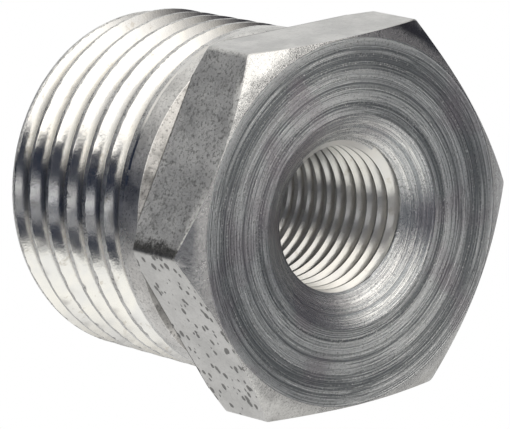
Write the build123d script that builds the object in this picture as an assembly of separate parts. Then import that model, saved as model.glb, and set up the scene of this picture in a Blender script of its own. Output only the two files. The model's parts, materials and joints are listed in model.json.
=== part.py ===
from build123d import *
from build123d.topology import SkipClean
from math import atan, ceil, cos, degrees, radians, tan
import os

# Hex-head reducing bushing: tapered pipe thread outside, smaller tapered pipe thread inside.
# Lengths in mm. The male end stands on z = 0 and the hexagon head is at the top.

# --- hexagon head ---
ACROSS_FLATS = 22.225        # 7/8 inch bar
HEAD_LENGTH = 5.2
BAR_EDGE_RADIUS = 0.35       # the drawn bar's own rounded edges
FACE_RING_INSET = 0.06       # from a flat in to the turned circle on the face
BACK_CORNER_CUT = 0.78       # how far the back chamfer reaches in from a sharp corner
CHAMFER_DEG = 30.0

# --- male side ---
SHANK_LENGTH = 15.5          # from the male end to the back of the hexagon
MALE_PITCH = 25.4 / 14
MALE_PITCH_DIA = 19.55       # of the thread, at the male end
MALE_CREST_TRIM = 0.14       # taken off the sharp crest by the turned blank, at the male end
MALE_ROOT_FLAT = 0.26
BLANK_TAPER = 0.0257         # of the turned blank, on the diameter, so crests widen upwards
MALE_THREAD_ANGLE = 61.5     # angle round the axis where the crest's height is stated
MALE_CREST_HEIGHT = 2.64     # height of a crest's middle at that angle
MALE_FADE_TURNS = 0.5        # how quickly the last groove runs out
END_CHAMFER_RADIAL = 0.62
END_CHAMFER_LENGTH = 1.55
LAND_LENGTH = 1.15           # plain land behind the last thread
RELIEF_LENGTH = 1.9          # undercut between the land and the hexagon
RELIEF_DEPTH = 0.62
RELIEF_CORNER = 0.30

# --- female side ---
FEMALE_PITCH = 25.4 / 27
FEMALE_PITCH_DIA = 9.489     # of the thread, at the face of the hexagon
FEMALE_CREST_TRIM = 0.103    # taken off the sharp crest, at the face
FEMALE_ROOT_FLAT = 0.08
BORE_UNDERSIZE = 0.889       # the drilled hole's diameter below the pitch diameter
TAP_DEPTH = 12.2             # full thread, from the face
TAP_LEAD_TURNS = 2.5         # tapering lead of the tap below that
FEMALE_THREAD_ANGLE = 270.0
FEMALE_CREST_DEPTH = 2.05    # depth of a whole crest at that angle
SINK_WIDTH = 1.5             # radial width of the countersink
SINK_DEG = 120.0             # included angle of the countersink
SINK_FLOOR_OVER = 0.311      # its small end's diameter above the pitch diameter
SINK_RING_DEPTH = 0.28       # short steeper ring from the countersink into the thread
SINK_EDGE_RADIUS = 0.35
BORE_END_CHAMFER = 0.45

# --- both threads ---
TAPER = 1 / 16               # on the diameter
THREAD_ANGLE_DEG = 60.0
CUTTER_GAP = 0.05            # left between neighbouring turns of the groove cutter
CUTTER_PAST = 0.15           # how far a fading cutter is drawn clear of the metal
OVERRUN = 0.5                # how far a cut or a joined blank runs past a face

FLANK = tan(radians(THREAD_ANGLE_DEG / 2))
SLOPE = TAPER / 2
TOTAL_LENGTH = SHANK_LENGTH + HEAD_LENGTH
RELIEF_START = SHANK_LENGTH - RELIEF_LENGTH
LAND_START = RELIEF_START - LAND_LENGTH
BORE_RADIUS = (FEMALE_PITCH_DIA - BORE_UNDERSIZE) / 2


def sharp_height(pitch):
    """Height of the full sharp V of a thread."""
    return pitch / (2 * FLANK)


def blank_radius(z):
    """Turned radius of the male blank, which the crests are left on."""
    crest = (MALE_PITCH_DIA + sharp_height(MALE_PITCH)) / 2 - MALE_CREST_TRIM
    return crest + BLANK_TAPER / 2 * z


def helix(radius, z, turns, pitch, slope):
    """Right-hand helix from height z, whose radius grows by slope for each mm of height."""
    lean = atan(slope)
    return Edge.make_helix(
        pitch=pitch / cos(lean), height=pitch * turns, radius=radius,
        center=(0, 0, z), normal=(0, 0, 1), angle=degrees(lean),
    )


def groove_cutter(radii, heights, start_deg, pitch, runs):
    """Solid that follows a thread groove, for runs of (turns, slope of its radius).

    Each turn has its own ruled faces, and flat caps close the two ends.
    """
    faces = []
    steps = [(min(1, turns - n), slope) for turns, slope in runs for n in range(ceil(turns))]
    for number, (turns, slope) in enumerate(steps):
        corners = [helix(r, z, turns, pitch, slope).rotate(Axis.Z, start_deg)
                   for r, z in zip(radii, heights)]
        faces += [Face.make_surface_from_curves(a, b)
                  for a, b in zip(corners, corners[1:] + corners[:1])]
        for at, cap_here in ((0, number == 0), (1, number == len(steps) - 1)):
            if cap_here:
                points = [edge.position_at(at) for edge in corners]
                faces.append(Face(Wire.make_polygon(points, close=True)))
        radii = [r + slope * pitch * turns for r in radii]
        heights = [h + pitch * turns for h in heights]
        start_deg += 360 * turns
    return Solid(Shell(faces))


def groove_section(narrow_radius, flat, wide_radius, middle):
    """Corner radii and heights of a groove's cross-section, narrow side first."""
    wide = flat + 2 * FLANK * abs(wide_radius - narrow_radius)
    radii = (narrow_radius, narrow_radius, wide_radius, wide_radius)
    heights = (middle - flat / 2, middle + flat / 2, middle + wide / 2, middle - wide / 2)
    return radii, heights


def male_cutter():
    """The external groove: full depth up the shank, then drawn outwards until it leaves the bar."""
    below = 1 + ceil(MALE_CREST_HEIGHT / MALE_PITCH)
    start = MALE_CREST_HEIGHT + MALE_PITCH / 2 - below * MALE_PITCH
    pitch_radius = MALE_PITCH_DIA / 2 + SLOPE * start
    height = sharp_height(MALE_PITCH)
    root = pitch_radius - height / 2 + MALE_ROOT_FLAT / (2 * FLANK)
    top = pitch_radius + height / 2 - CUTTER_GAP / (2 * FLANK)
    clear = max(MALE_FADE_TURNS * MALE_PITCH, MALE_PITCH / 2)
    turns = (LAND_START - clear - start) / MALE_PITCH
    radii, heights = groove_section(root, MALE_ROOT_FLAT, top, start)
    still_inside = blank_radius(LAND_START) + CUTTER_PAST - (root + SLOPE * turns * MALE_PITCH)
    away = still_inside / (MALE_FADE_TURNS * MALE_PITCH)
    return groove_cutter(radii, heights, MALE_THREAD_ANGLE, MALE_PITCH,
                         [(turns, SLOPE), (MALE_FADE_TURNS, away)])


def female_cutter():
    """The internal groove: the tap's tapering lead at the bottom, then full thread to the face."""
    height = sharp_height(FEMALE_PITCH)
    above = ceil(FEMALE_CREST_DEPTH / FEMALE_PITCH - 0.5) + 0.5
    top = TOTAL_LENGTH - FEMALE_CREST_DEPTH + above * FEMALE_PITCH
    full_from = TOTAL_LENGTH - TAP_DEPTH
    turns = (top - full_from) / FEMALE_PITCH
    pitch_radius = FEMALE_PITCH_DIA / 2 - SLOPE * TAP_DEPTH
    root = pitch_radius + height / 2 - FEMALE_ROOT_FLAT / (2 * FLANK)
    inner = pitch_radius - height / 2 + CUTTER_GAP / (2 * FLANK)
    fall = TAP_LEAD_TURNS * FEMALE_PITCH
    lead = (root - (BORE_RADIUS - CUTTER_PAST)) / fall
    radii, heights = groove_section(root - lead * fall, FEMALE_ROOT_FLAT, inner - lead * fall,
                                    full_from - fall)
    start_deg = FEMALE_THREAD_ANGLE - 360 * (turns + TAP_LEAD_TURNS)
    return groove_cutter(radii, heights, start_deg, FEMALE_PITCH,
                         [(TAP_LEAD_TURNS, lead), (turns, SLOPE)])


def turned(points, arc=360):
    """Solid of revolution from (radius, height) points."""
    with BuildPart() as part:
        with BuildSketch(Plane.XZ):
            with BuildLine():
                Polyline(*points, close=True)
            make_face()
        revolve(axis=Axis.Z, revolution_arc=arc)
    return part.part


def head():
    """Hexagon with corners on the X axis, turned to a chamfer in front and a lighter one behind."""
    with BuildPart() as prism:
        with BuildSketch(Plane.XY.offset(SHANK_LENGTH)):
            RegularPolygon(ACROSS_FLATS / 2, 6, major_radius=False, rotation=0)
        extrude(amount=HEAD_LENGTH)
        fillet(prism.edges().filter_by(Axis.Z), BAR_EDGE_RADIUS)
    corner = ACROSS_FLATS / 2 / cos(radians(30))
    front, back = ACROSS_FLATS / 2 - FACE_RING_INSET, corner - BACK_CORNER_CUT
    steep = tan(radians(CHAMFER_DEG))
    half = HEAD_LENGTH / 2
    envelope = turned([
        (0, SHANK_LENGTH), (back, SHANK_LENGTH),
        (back + half / steep, SHANK_LENGTH + half), (front + half / steep, SHANK_LENGTH + half),
        (front, TOTAL_LENGTH), (0, TOTAL_LENGTH),
    ])
    return prism.part & envelope


def shank():
    """Turned blank of the male side, with its end chamfer, land and undercut."""
    land = blank_radius(LAND_START)
    floor = land - RELIEF_DEPTH
    return turned([
        (0, 0), (blank_radius(0) - END_CHAMFER_RADIAL, 0),
        (blank_radius(END_CHAMFER_LENGTH), END_CHAMFER_LENGTH),
        (land, LAND_START), (land, RELIEF_START), (floor, RELIEF_START + RELIEF_DEPTH),
        (floor, SHANK_LENGTH - RELIEF_CORNER), (floor + RELIEF_CORNER, SHANK_LENGTH),
        (floor + RELIEF_CORNER, SHANK_LENGTH + OVERRUN), (0, SHANK_LENGTH + OVERRUN),
    ])


def bore():
    """Countersink, ring, tapered seat and drilled hole, as two half turns.

    They are cut one after the other, so that a crest is a row of half-turn faces.
    """
    floor = (FEMALE_PITCH_DIA + SINK_FLOOR_OVER) / 2
    sink = floor + SINK_WIDTH
    sink_depth = SINK_WIDTH / tan(radians(SINK_DEG / 2))
    ring_depth = sink_depth + SINK_RING_DEPTH
    crest = (FEMALE_PITCH_DIA - sharp_height(FEMALE_PITCH)) / 2 + FEMALE_CREST_TRIM
    meet_depth = (crest - BORE_RADIUS) / SLOPE
    half = turned([
        (0, -OVERRUN), (BORE_RADIUS + BORE_END_CHAMFER + OVERRUN, -OVERRUN),
        (BORE_RADIUS, BORE_END_CHAMFER), (BORE_RADIUS, TOTAL_LENGTH - meet_depth),
        (crest - SLOPE * ring_depth, TOTAL_LENGTH - ring_depth),
        (floor, TOTAL_LENGTH - sink_depth), (sink, TOTAL_LENGTH),
        (sink, TOTAL_LENGTH + OVERRUN), (0, TOTAL_LENGTH + OVERRUN),
    ], arc=180)
    return half, Rot(0, 0, 180) * half


def soften_sink(body):
    """Round the countersink's outer edge, the smallest circle on the face."""
    on_face = body.faces().sort_by(Axis.Z)[-1]
    rim = on_face.edges().filter_by(GeomType.CIRCLE).sort_by(lambda edge: edge.radius)[:2]
    return fillet(rim, SINK_EDGE_RADIUS)


def bushing():
    """The whole part, which is one piece of metal."""
    body = head() + shank()
    with SkipClean():
        for half in bore():
            body = body - half
        return soften_sink(body) - male_cutter() - female_cutter()


if __name__ == "__main__":
    os.makedirs("parts", exist_ok=True)
    solids = bushing().solids()
    assert len(solids) == 1, "the bushing must be one solid"
    solids[0].label = "hex_bushing"
    export_step(solids[0], "parts/hex_bushing.step")
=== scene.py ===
import json
import math
import random

import bmesh
import bpy
import numpy as np
from mathutils import Matrix, Vector, noise


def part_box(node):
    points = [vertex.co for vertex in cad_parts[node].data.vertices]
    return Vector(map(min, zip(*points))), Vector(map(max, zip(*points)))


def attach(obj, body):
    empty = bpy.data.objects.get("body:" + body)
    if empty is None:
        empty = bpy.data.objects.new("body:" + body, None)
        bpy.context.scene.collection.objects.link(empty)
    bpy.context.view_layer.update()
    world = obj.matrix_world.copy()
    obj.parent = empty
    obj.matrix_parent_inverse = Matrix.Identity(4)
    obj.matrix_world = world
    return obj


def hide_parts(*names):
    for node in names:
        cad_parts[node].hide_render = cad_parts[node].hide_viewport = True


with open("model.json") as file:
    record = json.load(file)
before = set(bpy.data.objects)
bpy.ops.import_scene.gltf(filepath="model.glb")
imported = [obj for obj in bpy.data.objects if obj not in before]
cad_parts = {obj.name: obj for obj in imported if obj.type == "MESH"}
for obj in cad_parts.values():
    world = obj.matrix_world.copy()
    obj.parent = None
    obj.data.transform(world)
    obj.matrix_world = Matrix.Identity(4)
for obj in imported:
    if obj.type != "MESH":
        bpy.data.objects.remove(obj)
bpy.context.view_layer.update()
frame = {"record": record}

MM = 0.001
NODE = "hex_bushing"
BODY = "root"

# ---------------------------------------------------------------- sizes, in mm
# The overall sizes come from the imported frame, and the rest repeat the CAD's own values.
# Heights start at the male end, and the turned face of the hexagon is at the top.
low, high = (np.array(corner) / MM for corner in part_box(NODE))
LENGTH = high[2]
ACROSS_FLATS = high[1] - low[1]
MOUNTS = {mount["name"]: mount for mount in frame["record"]["mounts"]}
BORE_RADIUS = MOUNTS["female_thread"]["dims"]["r_mm"]

HEAD_LENGTH = 5.2
SHANK = LENGTH - HEAD_LENGTH
BAR_EDGE_RADIUS = 0.35
FACE_RING_INSET = 0.06
BACK_CORNER_CUT = 0.78
CHAMFER = math.tan(math.radians(30))
FACE_RING = ACROSS_FLATS / 2 - FACE_RING_INSET
BACK_RING = ACROSS_FLATS / 2 / math.cos(math.radians(30)) - BACK_CORNER_CUT

TURN = 2 * math.pi
TAPER_SLOPE = 1 / 32                # of both threads, on the radius
FLANK = math.tan(math.radians(30))
CUTTER_PAST = 0.15                  # how far a fading groove is lifted clear of the metal

MALE_PITCH = 25.4 / 14
MALE_PITCH_DIA = 19.55
MALE_ROOT_FLAT = 0.26
MALE_CREST_TRIM = 0.14
MALE_CREST_HEIGHT = 2.64            # height of a crest's middle, at the angle below
MALE_THREAD_ANGLE = 61.5
MALE_SHARP = MALE_PITCH_DIA / 2 + MALE_PITCH / FLANK / 4
MALE_ROOT = MALE_PITCH_DIA / 2 - MALE_PITCH / FLANK / 4 + MALE_ROOT_FLAT / FLANK / 2
MALE_BLANK = MALE_SHARP - MALE_CREST_TRIM
BLANK_SLOPE = 0.0257 / 2
MALE_CREST_Z = MALE_CREST_HEIGHT - MALE_PITCH * MALE_THREAD_ANGLE / 360
MALE_FADE_TURNS = 0.5
END_CHAMFER_RADIAL = 0.62
END_CHAMFER_LENGTH = 1.55
RELIEF_LENGTH = 1.9
RELIEF_START = SHANK - RELIEF_LENGTH
RELIEF_DEPTH = 0.62
RELIEF_CORNER = 0.30
LAND_LENGTH = 1.15
LAND_START = RELIEF_START - LAND_LENGTH
LAND_RADIUS = MALE_BLANK + BLANK_SLOPE * LAND_START
THREAD_OUT = LAND_START + 0.7       # where the last groove has faded out for certain

FEMALE_PITCH = 25.4 / 27
FEMALE_PITCH_DIA = 9.489
FEMALE_ROOT_FLAT = 0.08
FEMALE_CREST_TRIM = 0.103
FEMALE_CREST_DEPTH = 2.05           # depth of a crest's middle, at the angle below
FEMALE_THREAD_ANGLE = 270
FEMALE_SHARP = FEMALE_PITCH_DIA / 2 - FEMALE_PITCH / FLANK / 4
FEMALE_ROOT = FEMALE_PITCH_DIA / 2 + FEMALE_PITCH / FLANK / 4 - FEMALE_ROOT_FLAT / FLANK / 2
FEMALE_CREST = FEMALE_SHARP + FEMALE_CREST_TRIM
FEMALE_CREST_Z = LENGTH - FEMALE_CREST_DEPTH - FEMALE_PITCH * FEMALE_THREAD_ANGLE / 360
TAP_DEPTH = 12.2
TAP_LEAD = 2.5 * FEMALE_PITCH
SINK_WIDTH = 1.5
SINK_ANGLE = math.radians(60)       # from the axis to the countersink's slope
SINK_FLOOR_OVER = 0.311
SINK_RING_DEPTH = 0.28
SINK_FLOOR = (FEMALE_PITCH_DIA + SINK_FLOOR_OVER) / 2
SINK_RADIUS = SINK_FLOOR + SINK_WIDTH
SINK_DEPTH = SINK_WIDTH / math.tan(SINK_ANGLE)
RING_DEPTH = SINK_DEPTH + SINK_RING_DEPTH
SINK_EDGE_RADIUS = 0.35
BORE_END_CHAMFER = 0.45

# Detail that only the visual model has.
EDGE_BREAK = 0.05                   # how far the hexagon's edges are broken
FACE_RINGS = 60                     # lathe rings modelled across the face
RING_CUT = 0.022                    # deepest of those rings
BURR = 0.06                         # how far a male crest's edges wander
BURR_RUNS = 40                      # how quickly they do, along the thread
BURR_FOOT = 0.035                   # width of the rolled-over metal beside a crest
MOUTH = 0.45                        # stretch of the bore that looks like the countersink
LAND_LOOK = 0.3                     # how far under the land its look starts
UNCUT = 0.004                       # metal this close to the turned blank is uncut
SECTOR_COLUMNS = 50                 # mesh columns between two corners of the hexagon
CORNER_CROWDING = 0.6               # how strongly those columns gather at the corners
SHARP_EDGE = math.radians(28)
WELD = 0.0002                       # points closer than this become one
SEED = 7

# ---------------------------------------------------------------- camera
AIM = (-0.83, -0.14, 11.89)
CAMERA_AZIMUTH = math.radians(99.57)
CAMERA_ELEVATION = math.radians(49.59)
CAMERA_ROLL = math.radians(103.05)
CAMERA_DISTANCE = 420.2
LENS = 494.1                        # on a sensor 36 mm wide
SENSOR = 36

FLOOR_HALF = 600
FLOOR_GAP = 0.2                     # under the male end, so that the two don't flicker


# ---------------------------------------------------------------- shader helpers
class Graph:
    """Short ways to add and join shader nodes in one node tree."""

    def __init__(self, tree):
        self.tree = tree

    def put(self, socket, value):
        if isinstance(value, bpy.types.NodeSocket):
            self.tree.links.new(value, socket)
        else:
            socket.default_value = value

    def node(self, kind, **settings):
        made = self.tree.nodes.new("ShaderNode" + kind)
        for name, value in settings.items():
            setattr(made, name, value)
        return made

    def math(self, operation, *values):
        made = self.node("Math", operation=operation)
        for socket, value in zip(made.inputs, values):
            self.put(socket, value)
        return made.outputs[0]

    def add(self, a, b):
        return self.math("ADD", a, b)

    def mul(self, a, b):
        return self.math("MULTIPLY", a, b)

    def sub(self, a, b):
        return self.math("SUBTRACT", a, b)

    def smooth(self, value, low_end, high_end, to_low=0.0, to_high=1.0):
        """A smooth step from to_low, at low_end, to to_high, at high_end."""
        made = self.node("MapRange", interpolation_type="SMOOTHSTEP")
        for name, x in (("Value", value), ("From Min", low_end), ("From Max", high_end),
                        ("To Min", to_low), ("To Max", to_high)):
            self.put(made.inputs[name], x)
        return made.outputs["Result"]

    def between(self, value, low_end, high_end, blur):
        """One between the two ends and zero outside them, with blurred edges."""
        return self.mul(self.smooth(value, low_end, low_end + blur),
                        self.smooth(value, high_end, high_end - blur))

    def mix(self, factor, a, b):
        """Colour a where the factor is 0, and colour b where it is 1."""
        made = self.node("Mix", data_type="RGBA")
        factor_socket, a_socket, b_socket = made.inputs[0], made.inputs[6], made.inputs[7]
        self.put(factor_socket, factor)
        self.put(a_socket, a)
        self.put(b_socket, b)
        return made.outputs[2]

    def dot(self, vector, direction):
        made = self.node("VectorMath", operation="DOT_PRODUCT")
        self.put(made.inputs[0], vector)
        self.put(made.inputs[1], direction)
        return made.outputs["Value"]

    def scaled(self, vector, factors):
        made = self.node("VectorMath", operation="MULTIPLY")
        self.put(made.inputs[0], vector)
        self.put(made.inputs[1], factors)
        return made.outputs[0]

    def noise(self, vector, scale, detail=2.0, roughness=0.5):
        made = self.node("TexNoise")
        self.put(made.inputs["Vector"], vector)
        self.put(made.inputs["Scale"], scale)
        self.put(made.inputs["Detail"], detail)
        self.put(made.inputs["Roughness"], roughness)
        return made.outputs["Fac"]

    def cells(self, vector):
        """Distance to the nearest of many scattered points, one for each unit cube."""
        made = self.node("TexVoronoi", feature="F1")
        self.put(made.inputs["Vector"], vector)
        self.put(made.inputs["Scale"], 1.0)
        return made.outputs["Distance"]

    def joined(self, x, y, z):
        made = self.node("CombineXYZ")
        for socket, value in zip(made.inputs, (x, y, z)):
            self.put(socket, value)
        return made.outputs[0]


def grey(value, warmth=0.0):
    return (value * (1 + warmth), value, value * (1 - warmth), 1.0)


# ---------------------------------------------------------------- studio
# The object is lit as if it lay on one flat of its hexagon, so "up" is across its axis.
STUDIO_UP = (math.cos(math.radians(30)), math.sin(math.radians(30)), 0.0)
STUDIO_LEFT = (-math.sin(math.radians(30)), math.cos(math.radians(30)), 0.0)
STUDIO_FRONT = (0.0, 0.0, 1.0)
BACKDROP_WAY = (0.108, -0.639, -0.761)      # straight behind the object

WHITE = (1.0, 1.0, 1.0, 1.0)
NIGHT = (0.022, 0.027, 0.044, 1)
BACK_RIGHT = (0.56, 0.55, 0.53, 1)
FAR_RIGHT = (0.30, 0.30, 0.30, 1)
OVERHEAD = (1.42, 1.38, 1.30, 1)
OVERHEAD_BEHIND = (0.76, 0.75, 0.72, 1)
OVERHEAD_GONE = (0.020, 0.020, 0.030, 1)
TABLE_BEHIND = (0.62, 0.61, 0.59, 1)
TABLE_AHEAD = (1.02, 1.01, 0.96, 1)
TABLE_RIGHT = (0.40, 0.39, 0.37, 1)
BACKDROP_LIGHT = (0.66, 0.66, 0.65, 1)

# Heights in the studio are sines of the angle above its horizon.
OVERHEAD_FROM, OVERHEAD_FROM_BEHIND = 0.28, 0.42
OVERHEAD_BLUR, OVERHEAD_BLUR_BEHIND = 0.03, 0.12
TABLE_FROM, TABLE_FROM_AHEAD = -0.26, -0.385
TABLE_BLUR, TABLE_BLUR_AHEAD = 0.12, 0.05
UPPER_PANE = (-0.105, 0.0)
LOWER_PANE = (-0.230, -0.150)
UPPER_PANE_BLUR, LOWER_PANE_BLUR = 0.020, 0.015
UPPER_PANE_LIGHT, LOWER_PANE_LIGHT = 0.75, 0.42


class Bearing:
    """Where a direction points in the studio: sines up, left and front, and two masks."""

    def __init__(self, g, direction):
        self.up = g.dot(direction, STUDIO_UP)
        self.left = g.dot(direction, STUDIO_LEFT)
        self.front = g.dot(direction, STUDIO_FRONT)
        self.backdrop = g.dot(direction, BACKDROP_WAY)
        self.behind = g.smooth(self.front, 0.1, -0.5)
        self.ahead = g.smooth(self.front, 0.35, 0.75)


def dark_room(g, way):
    """The unlit room round the horizon, paler on the right, with two pale panes ahead."""
    back_right = g.mul(way.behind, g.smooth(way.left, 0.0, -0.45))
    far_right = g.mul(g.smooth(way.left, -0.85, -0.98), g.smooth(way.front, 0.15, -0.1))
    room = g.mix(back_right, NIGHT, BACK_RIGHT)
    room = g.mix(far_right, room, FAR_RIGHT)
    upper = g.between(way.up, *UPPER_PANE, UPPER_PANE_BLUR)
    lower = g.between(way.up, *LOWER_PANE, LOWER_PANE_BLUR)
    across = g.mul(g.smooth(way.left, 0.10, 0.20), way.ahead)
    panes = g.add(g.mul(upper, UPPER_PANE_LIGHT), g.mul(lower, LOWER_PANE_LIGHT))
    return g.mix(g.mul(across, panes), room, WHITE)


def add_overhead(g, way, light):
    """Broad light overhead, which stops towards the right."""
    edge = g.smooth(way.behind, 0.0, 1.0, OVERHEAD_FROM, OVERHEAD_FROM_BEHIND)
    blur = g.smooth(way.behind, 0.0, 1.0, OVERHEAD_BLUR, OVERHEAD_BLUR_BEHIND)
    gone = g.mul(g.smooth(way.left, -0.30, -0.86), g.smooth(way.front, -0.5, 0.0))
    above = g.mix(way.behind, OVERHEAD, OVERHEAD_BEHIND)
    above = g.mix(gone, above, OVERHEAD_GONE)
    return g.mix(g.smooth(g.sub(way.up, edge), 0.0, blur), light, above)


def add_table(g, way, light):
    """The pale table that the light bounces off."""
    edge = g.smooth(way.ahead, 0.0, 1.0, TABLE_FROM, TABLE_FROM_AHEAD)
    blur = g.smooth(way.ahead, 0.0, 1.0, TABLE_BLUR, TABLE_BLUR_AHEAD)
    table = g.mix(way.ahead, TABLE_BEHIND, TABLE_AHEAD)
    table = g.mix(g.smooth(way.left, -0.05, -0.50), table, TABLE_RIGHT)
    return g.mix(g.smooth(g.sub(edge, way.up), 0.0, blur), light, table)


def make_world():
    """The studio, which only reflections see. The camera sees plain white instead."""
    world = bpy.data.worlds.new("studio")
    bpy.context.scene.world = world
    world.use_nodes = True
    g = Graph(world.node_tree)
    way = Bearing(g, g.node("TexCoord").outputs["Generated"])
    light = dark_room(g, way)
    light = add_overhead(g, way, light)
    light = add_table(g, way, light)
    light = g.mix(g.smooth(way.backdrop, 0.70, 0.85), light, BACKDROP_LIGHT)
    background = world.node_tree.nodes["Background"]
    seen = g.node("LightPath").outputs["Is Camera Ray"]
    g.put(background.inputs["Color"], g.mix(seen, light, WHITE))


def floor_material():
    """White from above, and clear to reflections and from below."""
    material = bpy.data.materials.new("pale_floor")
    material.use_nodes = True
    material.node_tree.nodes.clear()
    g = Graph(material.node_tree)
    from_below = g.node("NewGeometry").outputs["Backfacing"]
    seen = g.mul(g.node("LightPath").outputs["Is Camera Ray"], g.sub(1.0, from_below))
    glow = g.node("Emission")
    glow.inputs["Color"].default_value = WHITE
    both = g.node("MixShader")
    factor_socket, clear_socket, glow_socket = both.inputs
    g.put(factor_socket, seen)
    g.put(clear_socket, g.node("BsdfTransparent").outputs[0])
    g.put(glow_socket, glow.outputs[0])
    g.put(g.node("OutputMaterial").inputs["Surface"], both.outputs[0])
    return material


def make_floor():
    sides = ((-1, -1), (1, -1), (1, 1), (-1, 1))
    corners = [(x * FLOOR_HALF * MM, y * FLOOR_HALF * MM, -FLOOR_GAP * MM) for x, y in sides]
    mesh = bpy.data.meshes.new("floor")
    mesh.from_pydata(corners, [], [(0, 1, 2, 3)])
    mesh.materials.append(floor_material())
    floor = bpy.data.objects.new("floor", mesh)
    bpy.context.scene.collection.objects.link(floor)


# ---------------------------------------------------------------- materials
# Noise scales are per mm. Noise stays near 0.5, so a tone that changes over 0.35 to 0.65
# changes softly, and one that changes over 0.44 to 0.58 is crisp.
PURPLE_FILM = (0.36, 0.29, 0.35, 1)
# Colour of the painted shade at the chamfer's corners, where they reflect the dark room.
CORNER_SHADE = (0.17, 0.165, 0.19, 1)
OIL_STAIN = (0.42, 0.36, 0.28, 1)
CREAM_ZINC = (0.93, 0.915, 0.88, 1)
WORN_FLAT, PITTED_FLAT = 90, 150    # the ways those flats face, in degrees round the axis

FINISHES = ["turned", "sink", "chamfer", "flats", "back", "land", "crest", "flank", "relief",
            "bore", "end", "torn"]


class Surface:
    """Where a point of the part lies: place, radius and height in mm, and angle in radians."""

    def __init__(self, g):
        self.place = g.scaled(g.node("TexCoord").outputs["Object"], (1 / MM, 1 / MM, 1 / MM))
        split = g.node("SeparateXYZ")
        g.put(split.inputs[0], self.place)
        x, y, self.z = split.outputs
        self.radius = g.math("SQRT", g.add(g.mul(x, x), g.mul(y, y)))
        self.angle = g.math("ARCTAN2", y, x)

    def away(self, g, degrees):
        """Angle round the axis from a direction, in radians."""
        return g.math("ABSOLUTE", g.sub(self.angle, math.radians(degrees)))

    def side(self, g, degrees):
        """One on the flat that faces a direction, and zero on the others."""
        return g.smooth(self.away(g, degrees), math.radians(31), math.radians(29))


def metal(name, metallic):
    material = bpy.data.materials.new(name)
    material.use_nodes = True
    shader = material.node_tree.nodes["Principled BSDF"]
    shader.inputs["Metallic"].default_value = metallic
    g = Graph(material.node_tree)
    return material, g, shader, Surface(g)


def bump(g, shader, height, distance_mm, before=None):
    made = g.node("Bump")
    g.put(made.inputs["Height"], height)
    made.inputs["Distance"].default_value = distance_mm * MM
    made.inputs["Strength"].default_value = 1.0
    if before is not None:
        g.put(made.inputs["Normal"], before)
    g.put(shader.inputs["Normal"], made.outputs[0])
    return made.outputs[0]


def lathe_rings(g, at, fineness):
    """Broad and fine rings about the axis that wander a little, and long smears along them."""
    wander = g.noise(at.place, 0.10, 1.0)
    rings = g.joined(g.add(at.radius, g.mul(wander, 0.06)), g.mul(wander, 0.4), 0.0)
    broad = g.noise(rings, 0.9 * fineness, 2.0, 0.6)
    fine = g.noise(rings, 6.0 * fineness, 4.0, 0.85)
    smear = g.noise(g.joined(g.mul(at.radius, 5.0), g.noise(at.place, 0.6, 3.0), 0.0), 1.0, 3.0)
    return broad, fine, smear


def lathe_metal(name, dark, light, ring_mm, grain_mm, rough, fineness, metallic=1.0):
    """Lathe-turned zinc: rings of varied depth, a purple film, and bright and dull grains."""
    material, g, shader, at = metal(name, metallic)
    smoothest, roughest = rough
    broad, fine, smear = lathe_rings(g, at, fineness)
    grain = g.noise(at.place, 7.5, 4.0, 0.8)
    tone = g.add(g.mul(fine, 0.74), g.mul(broad, 0.26))
    colour = g.mix(g.smooth(tone, 0.44, 0.58), dark, light)
    film = g.smooth(g.noise(at.place, 0.22, 2.0), 0.48, 0.66, 0.0, 0.40)
    colour = g.mix(film, colour, PURPLE_FILM)
    bright = g.mul(g.smooth(grain, 0.54, 0.64), g.smooth(smear, 0.44, 0.58))
    colour = g.mix(g.mul(bright, 0.9), colour, grey(0.98))
    dull = g.smooth(grain, 0.46, 0.34, 0.0, 0.7)
    colour = g.mix(dull, colour, grey(0.18))
    g.put(shader.inputs["Base Color"], colour)
    g.put(shader.inputs["Roughness"], g.smooth(fine, 0.3, 0.7, roughest, smoothest))
    rings = bump(g, shader, g.add(g.mul(fine, 0.7), g.mul(broad, 0.5)), ring_mm)
    bump(g, shader, grain, grain_mm, rings)
    return material


def plated_metal(name, tones, rough, grain_mm, specks, warmth=0.0, torn=0.0, shaded_corners=(),
                 metallic=1.0):
    """Zinc plating: cloudy tone, fine grain and dark specks.

    torn roughens it near the turned face, and the next argument gives corners, in degrees round
    the axis, with how dark each is painted: painted shade where the chamfer reflects the dark
    room.
    """
    material, g, shader, at = metal(name, metallic)
    dark, light = tones
    cloud = g.noise(at.place, 0.45, 3.0, 0.6)
    grain = g.noise(at.place, 6.0, 4.0, 0.75)
    colour = g.mix(g.smooth(cloud, 0.35, 0.65), grey(dark, warmth), grey(light, warmth))
    colour = g.mix(g.smooth(grain, 0.50, 0.34, 0.0, specks), colour, grey(0.12))
    # Painted shade: darker colour round the given corners, where the chamfer reflects the dark
    # room.
    for corner, amount in shaded_corners:
        away = g.add(at.away(g, corner), g.mul(cloud, 0.2))
        there = g.smooth(away, math.radians(36), math.radians(29))
        colour = g.mix(g.mul(there, amount), colour, CORNER_SHADE)
    g.put(shader.inputs["Base Color"], colour)
    g.put(shader.inputs["Roughness"], g.smooth(cloud, 0.3, 0.7, *rough))
    if torn:
        ragged = g.add(at.radius, g.mul(cloud, 1.2))
        near_face = g.smooth(ragged, FACE_RING + 1.5, FACE_RING + 0.7)
        grain = g.mul(grain, g.add(g.mul(near_face, torn), 1.0))
    bump(g, shader, grain, grain_mm)
    return material


def long_pits(g, at, cloud):
    """Pits drawn out along the bar, on the pitted flat."""
    run = g.dot(at.place, (-0.5, -0.866, 0.0))
    place = g.joined(g.mul(run, 1.45), g.mul(at.z, 1.9), cloud)
    size = g.smooth(g.noise(place, 0.8, 1.0), 0.32, 0.66, 0.10, 0.40)
    pit = g.smooth(g.sub(g.cells(place), size), 0.03, -0.05)
    return g.mul(pit, at.side(g, PITTED_FLAT))


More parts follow.
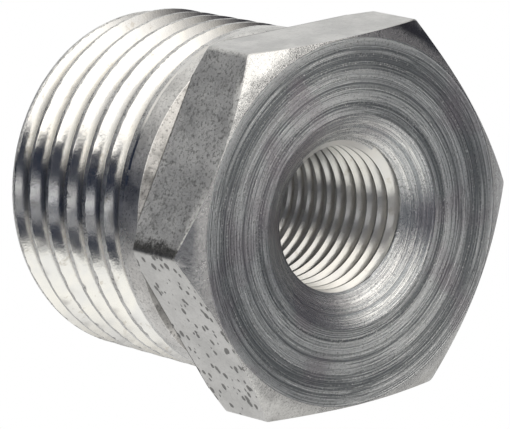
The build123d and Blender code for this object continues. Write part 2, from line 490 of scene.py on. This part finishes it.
def worn_band(g, at, coarse, grain, worn):
    """Black band on the worn flat, along its corner with the pitted one."""
    from_corner = g.dot(at.place, (0.866, 0.5, 0.0))
    edge = g.add(g.mul(coarse, 1.6), -0.15)
    band = g.mul(g.smooth(g.sub(from_corner, edge), 0.22, -0.22), worn)
    return g.mul(band, g.smooth(grain, 0.68, 0.50, 0.55, 1.0))


def bar_metal():
    """The hexagon's drawn flats: all grainy and flecked, one pitted, and one worn."""
    material, g, shader, at = metal("drawn_bar", 1.0)
    cloud = g.noise(at.place, 0.5, 3.0, 0.6)
    grain = g.noise(at.place, 9.0, 5.0, 0.8)
    coarse = g.noise(at.place, 2.2, 3.0, 0.7)
    fleck = g.noise(at.place, 4.6, 4.0, 0.75)
    worn = at.side(g, WORN_FLAT)
    colour = g.mix(g.smooth(cloud, 0.35, 0.65), grey(0.70), grey(0.84))
    flecks = g.mul(g.smooth(fleck, 0.49, 0.39), g.add(g.mul(worn, 0.50), 0.12))
    colour = g.mix(flecks, colour, grey(0.14))
    patches = g.mul(g.smooth(coarse, 0.46, 0.34), g.mul(worn, 0.40))
    colour = g.mix(patches, colour, grey(0.18))
    pit = long_pits(g, at, cloud)
    colour = g.mix(g.mul(pit, 0.80), colour, grey(0.12))
    band = worn_band(g, at, coarse, grain, worn)
    colour = g.mix(g.mul(band, 0.90), colour, grey(0.035))
    g.put(shader.inputs["Base Color"], colour)
    rough = g.smooth(cloud, 0.3, 0.7, 0.30, 0.42)
    g.put(shader.inputs["Roughness"], g.add(rough, g.mul(band, 0.2)))
    height_mm = g.sub(g.mul(g.add(grain, coarse), 0.022), g.mul(pit, 0.05))
    bump(g, shader, height_mm, 1.0)
    return material


def thread_metal(name, blank_mm, blank_slope, outside, root_shade_mm, rough, grain_mm, metallic=1.0):
    """A thread's flanks: bright, cloudy and stained, with painted shade towards the root.

    The blank is the cone that the crests lie on, and the shade depths say between which depths
    under it the flanks darken, as painted shade where the next crest shades them.
    """
    material, g, shader, at = metal(name, metallic)
    blank = g.add(g.mul(at.z, blank_slope), blank_mm)
    depth = g.sub(blank, at.radius) if outside else g.sub(at.radius, blank)
    cloud = g.noise(at.place, 0.35, 3.0, 0.6)
    grain = g.noise(at.place, 7.0, 4.0, 0.75)
    colour = g.mix(g.smooth(cloud, 0.35, 0.65), grey(0.82), CREAM_ZINC)
    # Painted shade: the flanks darken deep under the blank, where the next crest shades them.
    root = g.smooth(g.add(depth, g.mul(grain, 0.12)), *root_shade_mm)
    colour = g.mix(g.mul(root, 0.66), colour, grey(0.14))
    stain = g.smooth(g.noise(at.place, 1.1, 3.0, 0.7), 0.60, 0.72, 0.0, 0.35)
    colour = g.mix(stain, colour, OIL_STAIN)
    g.put(shader.inputs["Base Color"], colour)
    g.put(shader.inputs["Roughness"], g.add(g.smooth(cloud, 0.3, 0.7, *rough), g.mul(root, 0.10)))
    bump(g, shader, g.add(g.mul(grain, 0.4), cloud), grain_mm)
    return material


def male_flank_metal():
    return thread_metal("flank_zinc", MALE_BLANK, BLANK_SLOPE, outside=True, root_shade_mm=(0.58, 0.92),
                        rough=(0.08, 0.15), grain_mm=0.010)


def bore_metal():
    """Less than fully metallic, because a fully metallic bore comes out too dark."""
    crest_cone = FEMALE_CREST - TAPER_SLOPE * LENGTH
    return thread_metal("bore_zinc", crest_cone, TAPER_SLOPE, outside=False, root_shade_mm=(0.72, 0.95),
                        rough=(0.10, 0.19), grain_mm=0.016, metallic=0.66)


def finish_materials():
    """One material for each name in FINISHES, in that order."""
    back = plated_metal("back_zinc", (0.62, 0.76), (0.35, 0.45), grain_mm=0.010, specks=0.3)
    made = {
        "turned": lathe_metal("turned_zinc", grey(0.28, -0.07), grey(0.99, -0.02), ring_mm=0.16,
                              grain_mm=0.03, rough=(0.26, 0.40), fineness=1.2),
        "sink": lathe_metal("sink_zinc", grey(0.52, -0.05), grey(0.99), ring_mm=0.11,
                            grain_mm=0.014, rough=(0.17, 0.28), fineness=0.8, metallic=0.95),
        # Its corners get painted shade, where they reflect the dark room.
        "chamfer": plated_metal("chamfer_zinc", (0.74, 0.88), (0.18, 0.28), grain_mm=0.018,
                                specks=0.35, torn=5.0,
                                shaded_corners=((0, 0.75), (120, 0.40), (-60, 0.30))),
        "flats": bar_metal(),
        "back": back,
        "land": plated_metal("land_zinc", (0.68, 0.95), (0.26, 0.38), grain_mm=0.030,
                             specks=0.5, warmth=0.01),
        "crest": plated_metal("crest_zinc", (0.62, 0.90), (0.24, 0.34), grain_mm=0.030,
                              specks=0.75),
        "flank": male_flank_metal(),
        # The relief's dark tones are painted shade that dims its bright reflection, over its own
        # mottle.
        "relief": plated_metal("relief_zinc", (0.30, 0.85), (0.38, 0.50), grain_mm=0.030,
                               specks=0.7, warmth=0.02),
        "bore": bore_metal(),
        "end": back,
        # Bore crests: their own rough torn metal, darkened as painted shade for the dark lines at
        # their edges.
        "torn": plated_metal("torn_zinc_painted_shade", (0.26, 0.46), (0.36, 0.46), grain_mm=0.020,
                             specks=0.3, metallic=0.80),
    }
    return [made[name] for name in FINISHES]


# ---------------------------------------------------------------- shape of the part
def column_angles():
    """Angles round the axis for one turn, closer together at the hexagon's corners."""
    t = np.arange(SECTOR_COLUMNS) / SECTOR_COLUMNS
    crowded = t - CORNER_CROWDING * np.sin(TURN * t) / TURN
    sectors = np.arange(6)[:, None] + crowded[None, :]
    return np.append(sectors.ravel(), 6.0) * TURN / 6


PHI = column_angles()


def hexagon_radius(phi):
    """Distance from the axis to the hexagon's outline, with its rounded corners."""
    apothem = ACROSS_FLATS / 2
    from_flat = (phi % (math.pi / 3)) - math.pi / 6
    straight = apothem / np.cos(from_flat)
    from_corner = math.pi / 6 - np.abs(from_flat)
    centre = (apothem - BAR_EDGE_RADIUS) / math.cos(math.pi / 6)
    reach = BAR_EDGE_RADIUS**2 - (centre * np.sin(from_corner)) ** 2
    rounded = centre * np.cos(from_corner) + np.sqrt(np.maximum(reach, 0))
    tangent = math.atan2(BAR_EDGE_RADIUS * math.sin(math.pi / 6),
                         centre + BAR_EDGE_RADIUS * math.cos(math.pi / 6))
    return np.where(from_corner < tangent, rounded, straight)


def male_envelope(z):
    """Radius of the turned male blank at height z, with its end chamfer."""
    blank = np.minimum(MALE_BLANK + BLANK_SLOPE * z, LAND_RADIUS)
    chamfer_top = MALE_BLANK + BLANK_SLOPE * END_CHAMFER_LENGTH
    start = MALE_BLANK - END_CHAMFER_RADIAL
    chamfer = start + (chamfer_top - start) * z / END_CHAMFER_LENGTH
    return np.minimum(blank, chamfer)


def male_radius(phi, z):
    """Radius of the male thread's surface, whose last groove lifts out before the land."""
    turns = (z - MALE_CREST_Z) / MALE_PITCH - phi / TURN
    from_crest = np.abs(turns - np.round(turns)) * MALE_PITCH
    groove = MALE_CREST_Z + (np.floor(turns) + 0.5 + phi / TURN) * MALE_PITCH
    fade_length = MALE_FADE_TURNS * MALE_PITCH
    fade_start = LAND_START - fade_length
    fade_depth = LAND_RADIUS + CUTTER_PAST - MALE_ROOT - TAPER_SLOPE * fade_start
    lift = np.maximum(0, groove - fade_start) * fade_depth / fade_length
    vee = MALE_SHARP + TAPER_SLOPE * z - from_crest / FLANK + lift
    root = MALE_ROOT + TAPER_SLOPE * z + lift
    return np.minimum(male_envelope(z), np.maximum(vee, root))


def bore_envelope(z):
    """Radius of the countersink, the tapered seat and the drilled hole at height z."""
    depth = LENGTH - z
    seat = np.maximum(BORE_RADIUS, FEMALE_CREST - TAPER_SLOPE * depth)
    ring_foot = FEMALE_CREST - TAPER_SLOPE * RING_DEPTH
    ring = ring_foot + (SINK_FLOOR - ring_foot) * (RING_DEPTH - depth) / SINK_RING_DEPTH
    sink = SINK_FLOOR + (SINK_DEPTH - depth) * math.tan(SINK_ANGLE)
    return np.where(depth < SINK_DEPTH, sink, np.where(depth < RING_DEPTH, ring, seat))


def bore_radius(phi, z):
    """Radius of the female thread's surface, which shrinks to the hole along the tap's lead."""
    turns = (z - FEMALE_CREST_Z) / FEMALE_PITCH - phi / TURN
    from_crest = np.abs(turns - np.round(turns)) * FEMALE_PITCH
    depth = LENGTH - z
    full = FEMALE_ROOT - TAPER_SLOPE * TAP_DEPTH
    shrink = np.clip(depth - TAP_DEPTH, 0, None) * (full - BORE_RADIUS + CUTTER_PAST) / TAP_LEAD
    vee = FEMALE_SHARP - TAPER_SLOPE * depth + from_crest / FLANK - shrink
    root = FEMALE_ROOT - TAPER_SLOPE * depth - shrink
    return np.maximum(bore_envelope(z), np.minimum(vee, root))


# ---------------------------------------------------------------- mesh of the part
# Finish of each strip between two rows of a thread, over one pitch.
MALE_ZONES = ["flank"] * 5 + ["crest"] * 4 + ["flank"] * 6
# The bore's crests take the torn finish, whose dark colour is painted shade at the crests' edges.
FEMALE_ZONES = ["bore"] * 2 + ["torn"] * 2 + ["bore"] * 3
WIDEST_CREST = 0.42                 # half width of a crest at most, as a share of the pitch


class Skin:
    """Rows of points round the axis, from the male end up the outside and down the bore."""

    def __init__(self):
        self.radii, self.heights, self.zones = [], [], []

    def row(self, radius, z, zone):
        """Add a row. The zone is the finish of the strip between this row and the next one."""
        self.radii.append(np.broadcast_to(radius, PHI.shape))
        self.heights.append(np.broadcast_to(z, PHI.shape))
        self.zones.append(zone)

    def thread(self, surface, crest_z, pitch, span, offsets, zones, downward=False):
        """Rows along a helix: offsets gives heights from a crest's middle, over one pitch."""
        first = math.floor((span[0] - crest_z) / pitch) - 2
        last = math.ceil((span[1] - crest_z) / pitch)
        rows = []
        for turn in range(first, last + 1):
            middle = crest_z + (turn + PHI / TURN) * pitch
            for offset, zone in zip(offsets(middle), zones):
                z = np.clip(middle + offset, *span)
                rows.append((surface(PHI, z), z, zone))
        if downward:
            # Going down, a strip belongs to the row above it.
            strips = [zone for _, _, zone in rows]
            strips = strips[-2::-1] + zones[-1:]
            rows = [(radius, z, zone) for (radius, z, _), zone in zip(reversed(rows), strips)]
        for row in rows:
            self.row(*row)

    def finish_numbers(self):
        """Material number of every face, after the places where a zone changes part way."""
        radius, z = np.array(self.radii), np.array(self.heights)
        number = {name: FINISHES.index(name) for name in FINISHES}
        strips = np.array([number[zone] for zone in self.zones[:-1]])
        finish = np.repeat(strips[:, None], len(PHI) - 1, axis=1)
        inside = (finish == number["bore"]) | (finish == number["torn"])
        finish[inside & (z[1:, :-1] > LENGTH - RING_DEPTH - MOUTH)] = number["sink"]
        uncut = (z > LAND_START - LAND_LOOK) & (radius > male_envelope(z) - UNCUT)
        uncut = uncut[:-1, :-1] & uncut[1:, :-1] & (z[1:, :-1] <= RELIEF_START)
        on_land = (finish != number["crest"]) | (z[:-1, :-1] > LAND_START)
        finish[uncut & on_land] = number["land"]
        return finish.ravel()

    def mesh(self, name):
        radius, z = np.array(self.radii), np.array(self.heights)
        points = np.stack([radius * np.cos(PHI), radius * np.sin(PHI), z], axis=-1)
        index = np.arange(radius.size).reshape(radius.shape)
        corners = (index[:-1, :-1], index[:-1, 1:], index[1:, 1:], index[1:, :-1])
        faces = np.stack([corner.ravel() for corner in corners], axis=-1)
        mesh = bpy.data.meshes.new(name)
        mesh.from_pydata(points.reshape(-1, 3) * MM, [], faces.tolist())
        mesh.polygons.foreach_set("material_index", self.finish_numbers())
        return mesh


def burr(middle):
    """Ragged change of a crest's half width along the thread, from rolled-over metal."""
    wave = np.array([noise.noise(Vector((phi * BURR_RUNS, z * 1.7, 0.0)))
                     for phi, z in zip(PHI, middle)])
    return BURR * wave * np.sin(PHI / 2) ** 0.5


def mirrored(rise):
    """Offsets on both sides of a crest's middle, from those on its upper side."""
    return [-offset for offset in reversed(rise)] + [np.zeros_like(PHI)] + rise


def male_offsets(middle):
    half = (MALE_SHARP + TAPER_SLOPE * middle - male_envelope(middle)) * FLANK
    half = np.clip(half + burr(middle), 0.04, MALE_PITCH * WIDEST_CREST)
    root = (MALE_PITCH - MALE_ROOT_FLAT) / 2
    foot = half + BURR_FOOT
    flank = [foot + (root - foot) * t for t in (0, 0.35, 0.68, 0.95)]
    past_root = root + 0.03
    return mirrored([half * 0.45, half] + flank + [past_root])


def female_offsets(middle):
    sharp = FEMALE_SHARP - TAPER_SLOPE * (LENGTH - middle)
    half = (bore_envelope(middle) - sharp) * FLANK
    half = np.clip(half, 0.02, FEMALE_PITCH * WIDEST_CREST)
    root = (FEMALE_PITCH - FEMALE_ROOT_FLAT) / 2
    return mirrored([half, (half + root) / 2, root])


def male_skin(skin):
    """Male end face, thread, land and undercut, up to the hexagon's back."""
    end_inner = BORE_RADIUS + BORE_END_CHAMFER
    end_outer = male_radius(PHI, np.zeros_like(PHI))
    for t in np.linspace(0, 1, 9):
        skin.row(end_inner + t * (end_outer - end_inner), 0.0, "end")
    skin.thread(male_radius, MALE_CREST_Z, MALE_PITCH, (0.0, THREAD_OUT), male_offsets, MALE_ZONES)
    for z in np.linspace(THREAD_OUT, RELIEF_START, 4):
        skin.row(LAND_RADIUS, z, "land")
    floor = LAND_RADIUS - RELIEF_DEPTH
    skin.row(LAND_RADIUS - 0.03, RELIEF_START + 0.03, "relief")
    skin.row(floor, RELIEF_START + RELIEF_DEPTH, "relief")
    skin.row(floor, SHANK - RELIEF_CORNER, "relief")
    for angle in np.radians((30, 60, 90)):
        skin.row(floor + RELIEF_CORNER * (1 - math.cos(angle)),
                 SHANK - RELIEF_CORNER * (1 - math.sin(angle)), "back")


def head_skin(skin):
    """The hexagon: back, flats and front chamfer, with slightly broken edges."""
    rim = hexagon_radius(PHI)
    inner = LAND_RADIUS - RELIEF_DEPTH + RELIEF_CORNER
    back = np.minimum(rim, BACK_RING)
    for t in np.linspace(0.1, 1, 7):
        skin.row(inner + t * (back - inner), SHANK, "back")
    bottom = SHANK + np.maximum(rim - BACK_RING, 0) * CHAMFER
    top = LENGTH - np.maximum(rim - FACE_RING, 0) * CHAMFER
    skin.row(rim - EDGE_BREAK, bottom, "flats")
    for t in np.linspace(0, 1, 9):
        skin.row(rim, bottom + EDGE_BREAK + (top - bottom - 2 * EDGE_BREAK) * t, "flats")
    for t in (0.96, 0.7, 0.45, 0.2, 0.04):
        r = FACE_RING + (rim - FACE_RING) * t
        skin.row(r, LENGTH - (r - FACE_RING) * CHAMFER, "chamfer")


def face_skin(skin):
    """The turned face, with its lathe rings, and the countersink."""
    slope = math.pi / 2 - SINK_ANGLE
    lip = SINK_RADIUS + SINK_EDGE_RADIUS * math.tan(slope / 2)
    rings = np.linspace(FACE_RING, lip, FACE_RINGS)
    depths = [0.0] + [RING_CUT * random.random() ** 2 for _ in rings[1:-1]] + [0.0]
    for r, depth in zip(rings, depths):
        skin.row(r, LENGTH - depth, "turned")
    for angle in np.radians((8, 16, 24, 30)):
        skin.row(lip - SINK_EDGE_RADIUS * math.sin(angle),
                 LENGTH - SINK_EDGE_RADIUS * (1 - math.cos(angle)), "sink")
    half_way = LENGTH - 0.4
    skin.row(bore_envelope(np.array(half_way)), half_way, "sink")


def bore_skin(skin):
    """Female thread, from the countersink down, and the plain hole below it."""
    lower = LENGTH - TAP_DEPTH - TAP_LEAD - FEMALE_PITCH
    upper = LENGTH - SINK_DEPTH * 0.75
    skin.thread(bore_radius, FEMALE_CREST_Z, FEMALE_PITCH, (lower, upper), female_offsets,
                FEMALE_ZONES, downward=True)
    for z in np.linspace(lower, BORE_END_CHAMFER, 5)[1:]:
        skin.row(BORE_RADIUS, z, "bore")
    skin.row(BORE_RADIUS + BORE_END_CHAMFER, 0.0, "bore")


def close_mesh(mesh):
    """Weld the first column to the last and the last row to the first, and smooth the faces."""
    work = bmesh.new()
    work.from_mesh(mesh)
    bmesh.ops.remove_doubles(work, verts=work.verts, dist=WELD * MM)
    bmesh.ops.recalc_face_normals(work, faces=work.faces)
    if not all(edge.is_manifold for edge in work.edges):
        raise RuntimeError("the part's mesh isn't closed")
    for face in work.faces:
        face.smooth = True
    work.to_mesh(mesh)
    work.free()
    mesh.set_sharp_from_angle(angle=SHARP_EDGE)


def build_part():
    random.seed(SEED)
    skin = Skin()
    male_skin(skin)
    head_skin(skin)
    face_skin(skin)
    bore_skin(skin)
    mesh = skin.mesh(NODE + "_surface")
    for material in finish_materials():
        mesh.materials.append(material)
    close_mesh(mesh)
    part = bpy.data.objects.new(NODE + "_finished", mesh)
    bpy.context.scene.collection.objects.link(part)
    return part


def make_camera():
    data = bpy.data.cameras.new("camera")
    data.lens = LENS
    data.sensor_width = SENSOR
    data.clip_start, data.clip_end = 0.01, 10
    camera = bpy.data.objects.new("camera", data)
    bpy.context.scene.collection.objects.link(camera)
    out = Vector((math.cos(CAMERA_AZIMUTH) * math.cos(CAMERA_ELEVATION),
                  math.sin(CAMERA_AZIMUTH) * math.cos(CAMERA_ELEVATION),
                  math.sin(CAMERA_ELEVATION)))
    upright = (-out).to_track_quat("-Z", "Y").to_matrix()
    turn = upright @ Matrix.Rotation(CAMERA_ROLL, 3, "Z")
    place = Vector(AIM) * MM + out * (CAMERA_DISTANCE * MM)
    camera.matrix_world = Matrix.Translation(place) @ turn.to_4x4()
    bpy.context.scene.camera = camera


part = build_part()
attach(part, BODY)
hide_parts(NODE)

make_camera()
make_world()
make_floor()
bpy.context.scene.view_settings.view_transform = "Standard"
